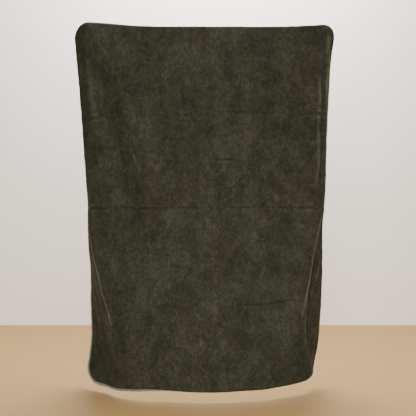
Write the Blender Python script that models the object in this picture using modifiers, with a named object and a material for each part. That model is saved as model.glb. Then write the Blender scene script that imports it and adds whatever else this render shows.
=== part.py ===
"""Two-layer camp blanket, hanging from its two top corners.

A pile fleece and a woven canvas lie back to back. A folded tape binds the edge all round, and one
row of lockstitch holds it: the needle thread shows on the front, the bobbin thread on the back.
The blanket can fold in half at its middle crease, so every layer is cut there into an upper and a
lower half.

Frame, in metres: the origin is the middle of the top edge, X is to the right, Y to the back and
Z up. The fleece is the front and faces -Y. A place on the flat cut is given as its distance
across, which is 0 in the middle, and its distance down from the top edge.
"""

from math import hypot, pi, sqrt

import bmesh
import bpy
import numpy as np
from mathutils import Vector

# The flat cut.
WIDTH = 1.50
LENGTH = 2.00
CORNER_RADIUS = 0.105

# The two layers, and the slack between them.
FLEECE_THICKNESS = 0.0040
CANVAS_THICKNESS = 0.0012
LAYER_GAP = 0.0004

# The binding tape, folded over the edge.
TAPE_COVER = 0.014
TAPE_THICKNESS = 0.0010
TAPE_CLEARANCE = 0.0014
TAPE_NOSE = 0.0020

# The lockstitch, measured from the tape's own hem.
THREAD_INSET = 0.0024
THREAD_WIDTH = 0.0010
THREAD_THICKNESS = 0.0006
THREAD_CLEARANCE = 0.0004

# The care label, sewn under the tape on the back.
LABEL_LENGTH = 0.055
LABEL_HEIGHT = 0.038
LABEL_THICKNESS = 0.0006
LABEL_CLEARANCE = 0.0026
LABEL_ABOVE_HEM = 0.42

# The middle crease, where the halves part.
CREASE_AT = LENGTH / 2
CREASE_GAP = 0.0006

# How finely the cloth is divided.
CORNER_CELLS = 2
SIDE_BAND = 0.32
SIDE_COLUMNS = 9
MIDDLE_COLUMNS = 16
MIDDLE_ROWS = 11
SECTION_SAMPLES = 401

# Where the top edge and the hem rise: height, place across, and how far to its left and right.
TOP_RISES = ((0.022, -0.62, 0.12, 0.20), (0.013, 0.64, 0.15, 0.20))
HEM_RISES = (
    (0.008, -0.28, 0.12, 0.14), (-0.010, -0.56, 0.12, 0.14),
    (0.014, 0.75, 0.32, 0.20), (0.056, 0.76, 0.12, 0.10),
)
RISE_FADES_OVER = 0.40

# The middle bows forwards: how far down, and the angle in degrees that this gives at the sides.
BELLY = ((0.00, 3), (0.50, 11), (1.00, 18), (1.50, 26), (2.00, 34))

# How a side edge runs, at a distance down: it turns back from a line so far inside the edge, over
# a width and by an angle, and nearer to the edge it flares out again in the same way.
LEFT_EDGE = (
    (0.00, (0.110, 0.110, 32), (0.040, 0.040, 0)),
    (0.15, (0.135, 0.120, 43), (0.040, 0.040, 0)),
    (0.55, (0.150, 0.120, 47), (0.040, 0.040, 0)),
    (1.00, (0.150, 0.100, 56), (0.040, 0.040, 0)),
    (1.20, (0.140, 0.070, 52), (0.040, 0.040, 8)),
    (1.35, (0.155, 0.050, 46), (0.040, 0.040, 14)),
    (1.50, (0.187, 0.036, 34), (0.050, 0.040, 14)),
    (1.70, (0.240, 0.042, 31), (0.110, 0.050, 14)),
    (1.85, (0.270, 0.060, 28), (0.150, 0.060, 20)),
    (2.00, (0.310, 0.100, 18), (0.200, 0.070, 20)),
)
RIGHT_EDGE = (
    (0.00, (0.110, 0.110, 28), (0.040, 0.040, 0)),
    (0.15, (0.140, 0.120, 56), (0.040, 0.040, 0)),
    (0.55, (0.138, 0.120, 53), (0.040, 0.040, 0)),
    (0.95, (0.120, 0.090, 52), (0.060, 0.040, 0)),
    (1.10, (0.135, 0.080, 56), (0.085, 0.040, 16)),
    (1.25, (0.155, 0.055, 55), (0.108, 0.045, 44)),
    (1.50, (0.188, 0.045, 51), (0.136, 0.045, 54)),
    (1.70, (0.215, 0.060, 52), (0.155, 0.050, 46)),
    (1.85, (0.215, 0.080, 33), (0.140, 0.060, 20)),
    (2.00, (0.170, 0.110, 42), (0.060, 0.060, 0)),
)

# Long folds: name, steepest angle in degrees (a ridge is positive, a valley negative), half width,
# and the points that the fold runs through, as distance down and distance across.
FOLDS = (
    ("left_ridge", 10, 0.045, ((0.32, -0.625), (0.50, -0.605), (0.73, -0.575), (1.00, -0.545))),
    ("left_valley", -13, 0.050, ((0.36, -0.550), (0.50, -0.520), (0.67, -0.480), (0.95, -0.425))),
    ("left_shoulder", 7, 0.060, ((0.30, -0.470), (0.50, -0.415), (0.67, -0.365), (0.95, -0.290))),
    ("left_corner", 8, 0.040, ((0.06, -0.640), (0.12, -0.600), (0.20, -0.545))),
    ("right_ridge", 15, 0.046, ((0.12, 0.685), (0.40, 0.655), (0.95, 0.595), (1.45, 0.530))),
    ("right_valley", -8, 0.055, ((0.20, 0.610), (0.67, 0.530), (1.22, 0.450), (1.45, 0.430))),
    ("centre_swell", 4, 0.130, ((0.30, 0.060), (1.00, 0.100), (1.90, 0.060))),
    ("left_hem_ridge", 6, 0.060, ((1.45, -0.400), (1.70, -0.380), (2.00, -0.360))),
    ("right_hem_ridge", 6, 0.060, ((1.60, 0.290), (1.75, 0.310), (2.00, 0.330))),
)
FOLD_FADE = 0.30

# The drape changes gradually down the cloth, over about this distance.
EASE = 0.12

# The bound edge rolls back: the distance round the cut from its left top corner, by way of the
# right top corner, and the angle there in degrees.
EDGE_ROLL = (
    (0.00, 45),
    (0.35, 70),
    (0.60, 90),
    (3.50, 95),
    (4.25, 85),
    (4.60, 20),
    (5.00, 0),
    (6.00, 10),
    (6.85, 30),
    (7.00, 45),
)

FLEECE_COLOUR = (0.042, 0.039, 0.024)
CANVAS_COLOUR = (0.120, 0.145, 0.105)
TAPE_COLOUR = (0.135, 0.165, 0.125)
THREAD_COLOUR = (0.100, 0.125, 0.095)
LABEL_COLOUR = (0.70, 0.69, 0.65)


def smooth(share):
    """0 before 0 and 1 after 1, with a smooth step between them."""
    share = np.clip(share, 0.0, 1.0)
    return share * share * (3.0 - 2.0 * share)


def eased(down, downs, values):
    """The value at a distance down, on runs between its points that are rounded into each other."""
    steps = np.linspace(-EASE, EASE, 9)
    weights = 1.05 - abs(steps) / EASE
    return np.interp(down + steps, downs, values) @ weights / weights.sum()


def edge_turn(across, down, table, side):
    """The angle by which a side edge has turned back. side is -1 for the left and 1 for the right."""
    inside = WIDTH / 2 - side * across
    downs = [row[0] for row in table]
    angle = 0.0
    for bend, sign in ((1, 1), (2, -1)):
        starts, widths, degrees = zip(*(row[bend] for row in table))
        start, width, bent = (eased(down, downs, values) for values in (starts, widths, degrees))
        angle = angle + sign * bent * smooth((start - inside) / width)
    return side * angle * pi / 180


def cloth_angle(across, down):
    """The angle between the cloth and the X axis, seen from above."""
    angle = eased(down, *zip(*BELLY)) * pi / 180 * across / (WIDTH / 2)
    angle = angle + edge_turn(across, down, LEFT_EDGE, -1) + edge_turn(across, down, RIGHT_EDGE, 1)
    for _, steepest, half_width, points in FOLDS:
        downs, places = zip(*points)
        offset = (across - eased(down, downs, places)) / half_width
        strength = smooth((down - downs[0] + FOLD_FADE) / FOLD_FADE)
        if downs[-1] < LENGTH:
            strength *= smooth((downs[-1] + FOLD_FADE - down) / FOLD_FADE)
        angle = angle + strength * steepest * pi / 180 * offset * np.exp((1 - offset**2) / 2)
    return angle


def section(down):
    """(across, x, y): the cloth's line seen from above, at a distance down.

    The cloth keeps its own length along the line, and it hangs about the plane y = 0.
    """
    across = np.linspace(-WIDTH / 2, WIDTH / 2, SECTION_SAMPLES)
    angle = cloth_angle((across[1:] + across[:-1]) / 2, down)
    step = across[1] - across[0]
    x = np.concatenate([[0.0], np.cumsum(np.cos(angle) * step)])
    y = np.concatenate([[0.0], np.cumsum(np.sin(angle) * step)])
    return across, x - np.interp(0.0, across, x), y - y.mean()


def draped(across, down):
    """Where a point of the flat cut hangs."""
    line, xs, ys = section(down)
    height = -down
    for rises, off_end in ((TOP_RISES, down), (HEM_RISES, LENGTH - down)):
        for rise, at, to_left, to_right in rises:
            off = (across - at) / (to_right if across > at else to_left)
            height += rise * np.exp(-(off**2) - (off_end / RISE_FADES_OVER) ** 2)
    return Vector((np.interp(across, line, xs), np.interp(across, line, ys), height))


def inner_columns():
    """The distance across of each grid line inside the tape."""
    corner = np.linspace(WIDTH / 2 - TAPE_COVER, WIDTH / 2 - CORNER_RADIUS, CORNER_CELLS + 1)
    side = np.linspace(corner[-1], WIDTH / 2 - SIDE_BAND, SIDE_COLUMNS + 1)
    middle = np.linspace(-side[-1], side[-1], MIDDLE_COLUMNS + 1)
    left = -np.concatenate([corner[:-1], side[:-1]])
    return np.concatenate([left, middle, -left[::-1]])


def inner_rows(half):
    """The distance down of each grid line inside the tape, in the upper or the lower half."""
    corner = np.linspace(TAPE_COVER, CORNER_RADIUS, CORNER_CELLS + 1)
    if half == "upper":
        even = np.linspace(CORNER_RADIUS, CREASE_AT - CREASE_GAP / 2, MIDDLE_ROWS + 1)
        return np.concatenate([corner[:-1], even])
    even = np.linspace(CREASE_AT + CREASE_GAP / 2, LENGTH - CORNER_RADIUS, MIDDLE_ROWS + 1)
    return np.concatenate([even, LENGTH - corner[:-1][::-1]])


def from_corner(across, down):
    """(centre across, centre down, right, below): a point as seen from its corner's centre.

    Right and below count outwards, and are negative where the point isn't in a corner.
    """
    centre_across = np.copysign(WIDTH / 2 - CORNER_RADIUS, across)
    centre_down = CORNER_RADIUS if down < LENGTH / 2 else LENGTH - CORNER_RADIUS
    right = (across - centre_across) * np.sign(centre_across)
    below = (down - centre_down) * np.sign(centre_down - LENGTH / 2)
    return centre_across, centre_down, right, below


def rounded(across, down):
    """A point of the square grid, moved so that the corner cells fill a quarter circle."""
    centre_across, centre_down, right, below = from_corner(across, down)
    if min(right, below) <= 0:
        return across, down
    radius = CORNER_RADIUS - TAPE_COVER
    return (
        centre_across + np.sign(centre_across) * right * sqrt(1 - (below / radius) ** 2 / 2),
        centre_down + np.sign(centre_down - LENGTH / 2) * below * sqrt(1 - (right / radius) ** 2 / 2),
    )


def outwards(across, down):
    """The direction, right and down on the flat cut, to the edge that is nearest to a point."""
    centre_across, centre_down, right, below = from_corner(across, down)
    towards_side, towards_end = np.sign(centre_across), np.sign(centre_down - LENGTH / 2)
    if right > 0 and below > 0:
        return towards_side * right / hypot(right, below), towards_end * below / hypot(right, below)
    if right >= below:
        return towards_side, 0.0
    return 0.0, towards_end


def round_the_cut(across, down):
    """The distance round the cut, clockwise from its left top corner, to a point by its edge."""
    to_right, to_down = outwards(across, down)
    if abs(to_down) > abs(to_right):
        along_top = across + WIDTH / 2
        return along_top if to_down < 0 else 2 * WIDTH + LENGTH - along_top
    return WIDTH + down if to_right > 0 else 2 * (WIDTH + LENGTH) - down


def rolled_edge(across, down):
    """Where the cut's edge hangs beside a point of the line inside the tape."""
    to_right, to_down = outwards(across, down)
    inside, flat = draped(across, down), TAPE_COVER / 2
    along = draped(across - to_down * flat, down + to_right * flat) - inside
    out = draped(across + to_right * flat, down + to_down * flat) - inside
    back = out.cross(along).normalized()
    roll = np.interp(round_the_cut(across, down), *zip(*EDGE_ROLL)) * pi / 180
    return inside + (out.normalized() * np.cos(roll) + back * np.sin(roll)) * TAPE_COVER


def inner_walk(half, last_column, last_row):
    """The grid crossings along the half's free edge, anticlockwise as the front shows them."""
    down_side = list(range(last_row + 1))
    along = list(range(1, last_column))
    if half == "upper":
        left = [(0, j) for j in down_side]
        right = [(last_column, j) for j in reversed(down_side)]
        return [*right, *((i, 0) for i in reversed(along)), *left]
    left = [(0, j) for j in down_side]
    right = [(last_column, j) for j in reversed(down_side)]
    return [*left, *((i, last_row) for i in along), *right]


def cloth_of(half):
    """(cloth, edge): the middle surface of the half, and its free edge.

    The cloth is a bmesh. The edge lists a pair of its vertices at each station: the one on the
    line inside the tape, and the one beside it on the cut's own edge.
    """
    columns, rows = inner_columns(), inner_rows(half)
    last_column, last_row = len(columns) - 1, len(rows) - 1
    cloth = bmesh.new()
    bmesh.ops.create_grid(cloth, x_segments=last_column, y_segments=last_row, size=1.0)
    crossing = {}
    for vertex in cloth.verts:
        i = round((vertex.co.x + 1) / 2 * last_column)
        j = round((1 - vertex.co.y) / 2 * last_row)
        crossing[i, j] = vertex
    flat = {key: rounded(columns[key[0]], rows[key[1]]) for key in crossing}
    for key, vertex in crossing.items():
        vertex.co = draped(*flat[key])
    edge = []
    for key in inner_walk(half, last_column, last_row):
        edge.append((crossing[key], cloth.verts.new(rolled_edge(*flat[key]))))
    for (inner, outer), (next_inner, next_outer) in zip(edge, edge[1:]):
        cloth.faces.new((inner, outer, next_outer, next_inner))
    bmesh.ops.recalc_face_normals(cloth, faces=cloth.faces)
    cloth.normal_update()
    if sum(face.normal.y * face.calc_area() for face in cloth.faces) > 0:
        bmesh.ops.reverse_faces(cloth, faces=cloth.faces)
        cloth.normal_update()
    return cloth, edge


def colour_of(name, colour, roughness):
    material = bpy.data.materials.new(name)
    material.use_nodes = True
    shader = material.node_tree.nodes["Principled BSDF"]
    shader.inputs["Base Color"].default_value = (*colour, 1.0)
    shader.inputs["Roughness"].default_value = roughness
    shader.inputs["Metallic"].default_value = 0.0
    return material


def shell(name, surface, collection, material, thickness):
    """A closed solid from an open bmesh, thickened on the side that its faces look to."""
    mesh = bpy.data.meshes.new(name)
    surface.to_mesh(mesh)
    surface.free()
    mesh.materials.append(material)
    solid = bpy.data.objects.new(name, mesh)
    collection.objects.link(solid)
    thicken = solid.modifiers.new("thickness", "SOLIDIFY")
    thicken.thickness = thickness
    thicken.offset = 1.0
    mesh.shade_smooth()
    mesh.set_sharp_from_angle(angle=pi / 3)
    return solid


def layer(cloth, distance):
    """A copy of the cloth, moved off it along its normals. A positive distance is to the front."""
    copied = cloth.copy()
    copied.verts.ensure_lookup_table()
    for vertex, original in zip(copied.verts, cloth.verts):
        vertex.co = original.co + original.normal * distance
    if distance < 0:
        bmesh.ops.reverse_faces(copied, faces=copied.faces)
    copied.normal_update()
    return copied


def strip(stations):
    """A bmesh of quads between stations, each a list of the same number of places."""
    surface = bmesh.new()
    lines = [[surface.verts.new(place) for place in station] for station in stations]
    for line, following in zip(lines, lines[1:]):
        for k in range(len(line) - 1):
            surface.faces.new((line[k], line[k + 1], following[k + 1], following[k]))
    surface.normal_update()
    return surface


def hem_line(inner, outer, off_cloth, shares):
    """Places from the tape's hem towards the cut's edge, at a distance off the cloth.

    The cloth bends at the inner line, so the first place is mitred to keep that distance.
    """
    start = inner.co + inner.normal * off_cloth / inner.normal.dot(outer.normal)
    end = outer.co + outer.normal * off_cloth
    return [start.lerp(end, share) for share in shares]


def tape_levels():
    """How far off the cloth the tape's inside lies, on the front and on the back."""
    front = LAYER_GAP / 2 + FLEECE_THICKNESS + TAPE_CLEARANCE
    back = -(LAYER_GAP / 2 + CANVAS_THICKNESS + TAPE_CLEARANCE)
    return front, back


def stitch_shares():
    """The thread's two sides, as shares of the way from the tape's hem to the cut's edge."""
    return [THREAD_INSET / TAPE_COVER, (THREAD_INSET + THREAD_WIDTH) / TAPE_COVER]


def tape_surface(edge):
    """The inside of the folded tape, from its front hem round the edge to its back hem."""
    front, back = tape_levels()
    shares = [0.0, *stitch_shares(), 1.0 + TAPE_CLEARANCE / TAPE_COVER]
    stations = []
    for inner, outer in edge:
        nose = 1.0 + (TAPE_CLEARANCE + TAPE_NOSE) / TAPE_COVER
        stations.append(
            [
                *hem_line(inner, outer, front, shares),
                *hem_line(inner, outer, (front + back) / 2, [nose]),
                *reversed(hem_line(inner, outer, back, shares)),
            ]
        )
    return strip(stations)


def thread_surface(edge, face):
    """The underside of the thread that lies on the tape."""
    front, back = tape_levels()
    on_tape = TAPE_THICKNESS + THREAD_CLEARANCE
    if face == "front":
        return strip([hem_line(*pair, front + on_tape, stitch_shares()) for pair in edge])
    return strip([hem_line(*pair, back - on_tape, stitch_shares())[::-1] for pair in edge])


def label_surface():
    """The care label's inner face, behind the canvas and beside the left edge."""
    start = -WIDTH / 2 + TAPE_COVER + LABEL_CLEARANCE
    top = LENGTH - LABEL_ABOVE_HEM
    behind = LAYER_GAP / 2 + CANVAS_THICKNESS + LABEL_CLEARANCE
    across = np.linspace(start, start + LABEL_LENGTH, 5)
    flat = strip([[draped(x, top), draped(x, top + LABEL_HEIGHT)] for x in across])
    return layer(flat, -behind)


def build():
    for thing in list(bpy.data.objects):
        bpy.data.objects.remove(thing, do_unlink=True)
    blanket = bpy.data.collections.new("camp_blanket")
    bpy.context.scene.collection.children.link(blanket)
    fleece = colour_of("fleece", FLEECE_COLOUR, 0.95)
    canvas = colour_of("canvas", CANVAS_COLOUR, 0.85)
    tape = colour_of("tape", TAPE_COLOUR, 0.80)
    thread = colour_of("thread", THREAD_COLOUR, 0.60)
    label = colour_of("label", LABEL_COLOUR, 0.50)
    for half in ("upper", "lower"):
        cloth, edge = cloth_of(half)
        shell(f"fleece_{half}", layer(cloth, LAYER_GAP / 2), blanket, fleece, FLEECE_THICKNESS)
        shell(f"canvas_{half}", layer(cloth, -LAYER_GAP / 2), blanket, canvas, CANVAS_THICKNESS)
        shell(f"binding_{half}", tape_surface(edge), blanket, tape, TAPE_THICKNESS)
        for face in ("front", "back"):
            stitching = thread_surface(edge, face)
            shell(f"{face}_thread_{half}", stitching, blanket, thread, THREAD_THICKNESS)
        cloth.free()
    shell("care_label", label_surface(), blanket, label, LABEL_THICKNESS)


build()
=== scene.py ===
# %% [markdown]
# # A camp blanket, hung up by its two top corners
# The imported CAD model is the frame: it says how big the blanket is, how it hangs, and which half
# moves with which body when the blanket folds in half. This script makes what a camera sees. The
# CAD cloth comes in halves, because a rigid body can't bend. Here each layer is one whole cloth
# again.

# %% Load the frame
from math import cos, pi, sin

import bpy
import numpy as np
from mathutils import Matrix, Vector, noise


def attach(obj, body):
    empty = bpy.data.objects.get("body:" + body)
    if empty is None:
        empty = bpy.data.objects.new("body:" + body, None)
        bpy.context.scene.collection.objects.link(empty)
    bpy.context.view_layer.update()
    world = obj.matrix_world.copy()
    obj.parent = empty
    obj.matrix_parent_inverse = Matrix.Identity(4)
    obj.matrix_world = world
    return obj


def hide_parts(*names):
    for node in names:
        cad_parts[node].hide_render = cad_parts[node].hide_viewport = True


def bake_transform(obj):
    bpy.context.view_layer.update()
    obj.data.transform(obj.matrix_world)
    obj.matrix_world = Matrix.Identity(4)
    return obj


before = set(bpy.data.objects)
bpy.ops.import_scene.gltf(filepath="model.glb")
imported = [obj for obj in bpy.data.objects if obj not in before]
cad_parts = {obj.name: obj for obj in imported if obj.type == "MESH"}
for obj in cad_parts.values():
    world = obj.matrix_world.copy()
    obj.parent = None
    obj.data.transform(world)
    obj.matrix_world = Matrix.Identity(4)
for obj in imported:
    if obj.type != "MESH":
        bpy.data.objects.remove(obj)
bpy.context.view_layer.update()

# %% [markdown]
# ## Camera
# The blanket is 2 m long and flat, so the camera stands level with its middle and looks straight
# at it. A normal lens from 3 m away keeps the edges straight. It comes first, so that every later
# piece can be looked at as soon as it is made.

# %% Camera
MIDDLE_HEIGHT = -1.0
CAMERA_AWAY = 2.94
CAMERA_ASIDE = 0.019
CAMERA_HEIGHT = MIDDLE_HEIGHT - 0.005
SENSOR_WIDTH = 36.0
LENS_LENGTH = 46.7

camera = bpy.data.objects.new("camera", bpy.data.cameras.new("camera"))
camera.location = (CAMERA_ASIDE, -CAMERA_AWAY, CAMERA_HEIGHT)
camera.rotation_euler = (pi / 2, 0.0, 0.0)
camera.data.sensor_width = SENSOR_WIDTH
camera.data.lens = LENS_LENGTH
bpy.context.scene.collection.objects.link(camera)
bpy.context.scene.camera = camera
print("camera at", tuple(camera.location))

# %% [markdown]
# ## Floor and wall
# A plain floor and wall show how the blanket stands in a room, and they throw soft light back on
# the cloth. The wall's back is clear, so that the blanket can be looked at from behind too.

# %% Floor and wall
FLOOR_HEIGHT = -2.045
WALL_BEHIND = 1.85
ROOM_HALF_WIDTH = 7.0
ROOM_HEIGHT = 6.0


def plain_finish(name, colour, roughness):
    """A material of one colour."""
    material = bpy.data.materials.new(name)
    material.use_nodes = True
    shader = material.node_tree.nodes["Principled BSDF"]
    shader.inputs["Base Color"].default_value = (*colour, 1.0)
    shader.inputs["Roughness"].default_value = roughness
    return material


def stage_face(name, corners, material):
    """One face of the room."""
    mesh = bpy.data.meshes.new(name)
    mesh.from_pydata(corners, [], [range(len(corners))])
    mesh.materials.append(material)
    face = bpy.data.objects.new(name, mesh)
    bpy.context.scene.collection.objects.link(face)
    return face


floor = stage_face(
    "floor",
    [(x, y, FLOOR_HEIGHT) for x, y in (
        (-ROOM_HALF_WIDTH, -ROOM_HALF_WIDTH), (ROOM_HALF_WIDTH, -ROOM_HALF_WIDTH),
        (ROOM_HALF_WIDTH, WALL_BEHIND), (-ROOM_HALF_WIDTH, WALL_BEHIND))],
    plain_finish("pale_floor", (0.335, 0.200, 0.066), 0.55),
)
wall = stage_face(
    "wall",
    [(x, WALL_BEHIND, FLOOR_HEIGHT + z) for x, z in (
        (-ROOM_HALF_WIDTH, 0.0), (ROOM_HALF_WIDTH, 0.0),
        (ROOM_HALF_WIDTH, ROOM_HEIGHT), (-ROOM_HALF_WIDTH, ROOM_HEIGHT))],
    plain_finish("pale_wall", (0.90, 0.87, 0.83), 0.9),
)
wall_tree = wall.data.materials[0].node_tree
which_side = wall_tree.nodes.new("ShaderNodeNewGeometry")
clear_back = wall_tree.nodes.new("ShaderNodeBsdfTransparent")
two_sided = wall_tree.nodes.new("ShaderNodeMixShader")
wall_tree.links.new(which_side.outputs["Backfacing"], two_sided.inputs[0])
wall_tree.links.new(wall_tree.nodes["Principled BSDF"].outputs[0], two_sided.inputs[1])
wall_tree.links.new(clear_back.outputs[0], two_sided.inputs[2])
wall_tree.links.new(two_sided.outputs[0], wall_tree.nodes["Material Output"].inputs["Surface"])
print("room", floor.name, wall.name)

# %% [markdown]
# ## Light
# Large soft lamps give a studio's even light. One in front and one at the side light the pile. A
# low one stands in for the light that a pale floor throws up at the hem. The last hangs above and
# behind the blanket and lights the wall. Bigger lamps make softer shadows.

# %% Light
def soft_lamp(name, place, looks_at, size, power, colour=(1.0, 0.98, 0.95)):
    """A square area lamp that is aimed at a point."""
    lamp = bpy.data.objects.new(name, bpy.data.lights.new(name, "AREA"))
    lamp.data.size = size
    lamp.data.energy = power
    lamp.data.color = colour
    lamp.location = place
    lamp.rotation_euler = (Vector(looks_at) - Vector(place)).to_track_quat("-Z", "Y").to_euler()
    bpy.context.scene.collection.objects.link(lamp)
    return lamp


WORLD_COLOUR = (1.0, 0.985, 0.96)
WORLD_STRENGTH = 0.22
blanket_middle = (0.0, 0.0, MIDDLE_HEIGHT)
soft_lamp("front_lamp", (-0.5, -5.2, -1.3), (0.0, 0.0, -1.2), 2.6, 276)
soft_lamp("side_lamp", (2.4, -3.6, -0.8), blanket_middle, 1.6, 25)
soft_lamp("low_lamp", (0.35, -2.2, -2.0), (0.1, 0.0, -1.8), 0.9, 40, (1.0, 0.97, 0.86))
soft_lamp("wall_lamp", (0.1, 0.50, 2.4), (0.0, WALL_BEHIND, -2.0), 2.0, 440)
world = bpy.data.worlds.new("studio")
world.use_nodes = True
background = world.node_tree.nodes["Background"]
background.inputs["Color"].default_value = (*WORLD_COLOUR, 1.0)
background.inputs["Strength"].default_value = WORLD_STRENGTH
bpy.context.scene.world = world

# %% [markdown]
# ## The drape
# Cloth bends easily but hardly stretches. So the drape isn't a free-form surface: at each distance
# down, the cloth is a line seen from above that keeps its own length, and only the angle of that
# line is chosen. The angle holds the forward bow of the middle, the sides that turn back, and the
# long folds that run down from the held corners. These are the numbers that the CAD cloth was
# hung with, so that this cloth fits over it. A cloth simulation could hang a sheet too, but it would
# settle a little differently each time a number changed, and the folds have to be where they are.

# %% Drape numbers
WIDTH = 1.50
LENGTH = 2.00
CORNER_RADIUS = 0.105
# Where the top edge and the hem rise: height, place across, and how far to its left and right.
TOP_RISES = ((0.022, -0.62, 0.12, 0.20), (0.013, 0.64, 0.15, 0.20))
HEM_RISES = (
    (0.008, -0.28, 0.12, 0.14), (-0.010, -0.56, 0.12, 0.14),
    (0.014, 0.75, 0.32, 0.20), (0.056, 0.76, 0.12, 0.10),
)
RISE_FADES_OVER = 0.40
EASE = 0.12
FOLD_FADE = 0.30

# How far down, and how many degrees the middle's bow has turned at the sides.
BELLY = ((0.00, 3), (0.50, 11), (1.00, 18), (1.50, 26), (2.00, 34))

# At a distance down, a side turns back from a line so far inside its edge, over a width and by an
# angle in degrees. Nearer to the edge it flares out again in the same way.
LEFT_EDGE = (
    (0.00, (0.110, 0.110, 32), (0.040, 0.040, 0)),
    (0.15, (0.135, 0.120, 43), (0.040, 0.040, 0)),
    (0.55, (0.150, 0.120, 47), (0.040, 0.040, 0)),
    (1.00, (0.150, 0.100, 56), (0.040, 0.040, 0)),
    (1.20, (0.140, 0.070, 52), (0.040, 0.040, 8)),
    (1.35, (0.155, 0.050, 46), (0.040, 0.040, 14)),
    (1.50, (0.187, 0.036, 34), (0.050, 0.040, 14)),
    (1.70, (0.240, 0.042, 31), (0.110, 0.050, 14)),
    (1.85, (0.270, 0.060, 28), (0.150, 0.060, 20)),
    (2.00, (0.310, 0.100, 18), (0.200, 0.070, 20)),
)
RIGHT_EDGE = (
    (0.00, (0.110, 0.110, 28), (0.040, 0.040, 0)),
    (0.15, (0.140, 0.120, 56), (0.040, 0.040, 0)),
    (0.55, (0.138, 0.120, 53), (0.040, 0.040, 0)),
    (0.95, (0.120, 0.090, 52), (0.060, 0.040, 0)),
    (1.10, (0.135, 0.080, 56), (0.085, 0.040, 16)),
    (1.25, (0.155, 0.055, 55), (0.108, 0.045, 44)),
    (1.50, (0.188, 0.045, 51), (0.136, 0.045, 54)),
    (1.70, (0.215, 0.060, 52), (0.155, 0.050, 46)),
    (1.85, (0.215, 0.080, 33), (0.140, 0.060, 20)),
    (2.00, (0.170, 0.110, 42), (0.060, 0.060, 0)),
)

# Long folds: the steepest angle in degrees (a ridge is positive), the half width, and the points
# that the fold runs through, as distance down and distance across.
FOLDS = (
    (10, 0.045, ((0.32, -0.625), (0.50, -0.605), (0.73, -0.575), (1.00, -0.545))),
    (-13, 0.050, ((0.36, -0.550), (0.50, -0.520), (0.67, -0.480), (0.95, -0.425))),
    (7, 0.060, ((0.30, -0.470), (0.50, -0.415), (0.67, -0.365), (0.95, -0.290))),
    (8, 0.040, ((0.06, -0.640), (0.12, -0.600), (0.20, -0.545))),
    (15, 0.046, ((0.12, 0.685), (0.40, 0.655), (0.95, 0.595), (1.45, 0.530))),
    (-8, 0.055, ((0.20, 0.610), (0.67, 0.530), (1.22, 0.450), (1.45, 0.430))),
    (4, 0.130, ((0.30, 0.060), (1.00, 0.100), (1.90, 0.060))),
    (6, 0.060, ((1.45, -0.400), (1.70, -0.380), (2.00, -0.360))),
    (6, 0.060, ((1.60, 0.290), (1.75, 0.310), (2.00, 0.330))),
)
print("a cut of", WIDTH, "x", LENGTH, "m with", len(FOLDS), "long folds")

# %% The line of the cloth at each distance down
def smooth(share):
    """0 before 0 and 1 after 1, with a smooth step between them."""
    share = np.clip(share, 0.0, 1.0)
    return share * share * (3.0 - 2.0 * share)


def eased(down, downs, values):
    """Values at distances down, on runs between the points that are rounded into each other."""
    steps = np.linspace(-EASE, EASE, 9)
    weights = 1.05 - abs(steps) / EASE
    return np.interp(down[..., None] + steps, downs, values) @ weights / weights.sum()


def side_turn(across, down, table, side):
    """The angle by which a side has turned back. side is -1 for the left and 1 for the right."""
    inside = WIDTH / 2 - side * across
    downs = [row[0] for row in table]
    angle = 0.0
    for bend, sign in ((1, 1), (2, -1)):
        start, width, bent = (eased(down, downs, v) for v in zip(*(row[bend] for row in table)))
        angle = angle + sign * bent * smooth((start - inside) / width)
    return side * angle * pi / 180


def cloth_angle(across, down):
    """The angle between the cloth and the X axis, seen from above."""
    angle = eased(down, *zip(*BELLY)) * pi / 180 * across / (WIDTH / 2)
    angle = angle + side_turn(across, down, LEFT_EDGE, -1) + side_turn(across, down, RIGHT_EDGE, 1)
    for steepest, half_width, points in FOLDS:
        downs, places = zip(*points)
        offset = (across - eased(down, downs, places)) / half_width
        strength = smooth((down - downs[0] + FOLD_FADE) / FOLD_FADE)
        if downs[-1] < LENGTH:
            strength = strength * smooth((downs[-1] + FOLD_FADE - down) / FOLD_FADE)
        angle = angle + strength * steepest * pi / 180 * offset * np.exp((1 - offset**2) / 2)
    return angle


TABLE_STEP = 0.005
table_across = np.linspace(-WIDTH / 2, WIDTH / 2, round(WIDTH / TABLE_STEP) + 1)
table_down = np.linspace(0.0, LENGTH, round(LENGTH / TABLE_STEP) + 1)


def hang_table():
    """Where the crossings of a 5 mm grid on the flat cut hang, as rows of points."""
    down = table_down[:, None]
    angle = cloth_angle((table_across[1:] + table_across[:-1])[None, :] / 2, down)
    points = np.zeros((len(table_down), len(table_across), 3))
    points[:, 1:, 0] = np.cumsum(np.cos(angle) * TABLE_STEP, axis=1)
    points[:, 1:, 1] = np.cumsum(np.sin(angle) * TABLE_STEP, axis=1)
    points[..., 0] -= points[:, len(table_across) // 2, 0][:, None]
    points[..., 1] -= points[..., 1].mean(axis=1)[:, None]
    for rises, off_end in ((TOP_RISES, down), (HEM_RISES, LENGTH - down)):
        for rise, at, to_left, to_right in rises:
            off = table_across[None, :] - at
            bump = np.exp(-((off / np.where(off > 0, to_right, to_left)) ** 2))
            points[..., 2] += rise * bump * np.exp(-((off_end / RISE_FADES_OVER) ** 2))
    points[..., 2] -= down
    return points


hung = hang_table()
print("the cloth spans", np.round(np.ptp(hung, axis=(0, 1)), 3))

# %% [markdown]
# ## Creases and wrinkles
# A blanket that has been folded for packing keeps creases: one down the middle and several across.
# Between them lie short soft wrinkles. Each is a groove or a ridge a few millimetres high, so it is
# added to the drape as a height off the cloth. A crease is a narrow bell shape along a line, and
# noise makes it come and go, as creases in a soft cloth do.

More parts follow.
